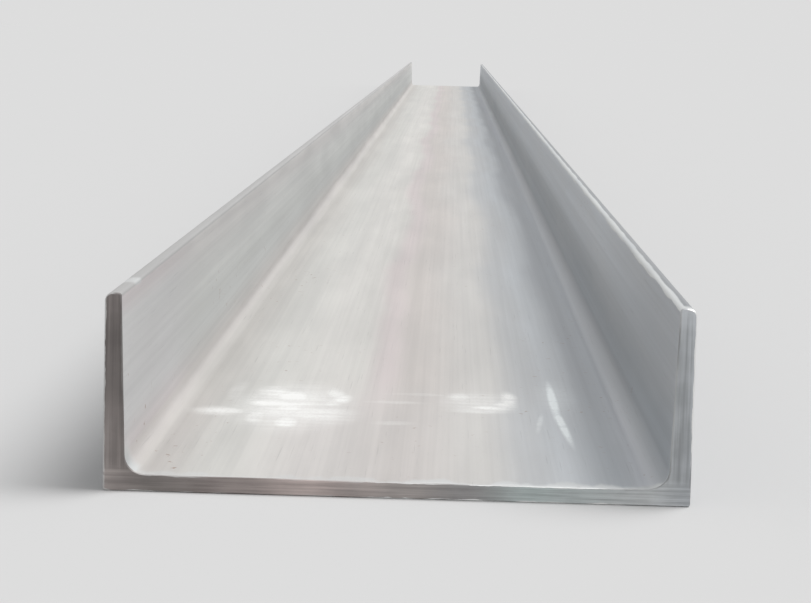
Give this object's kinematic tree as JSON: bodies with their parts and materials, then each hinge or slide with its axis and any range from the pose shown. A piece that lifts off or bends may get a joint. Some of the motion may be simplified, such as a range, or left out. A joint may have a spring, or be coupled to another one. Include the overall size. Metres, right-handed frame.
{
  "type": "steel u-channel",
  "caption": "Hot-rolled steel U-channel, a straight stock length with tapered flanges and a rounded root, lying on its web with the flanges up.",
  "frame": {"origin": "mid-length and mid-depth of the channel, on the plane of the web's back that it lies on", "axes": "+Y along the length, away from the end seen in the picture; +X across the depth; +Z out of the open side, towards the toes"},
  "size_m": [0.2, 6, 0.068],
  "materials": {
    "steel": "hot-rolled mill scale, dull grey"
  },
  "bodies": {
    "root": {"channel": "steel"}
  },
  "joints": []
}
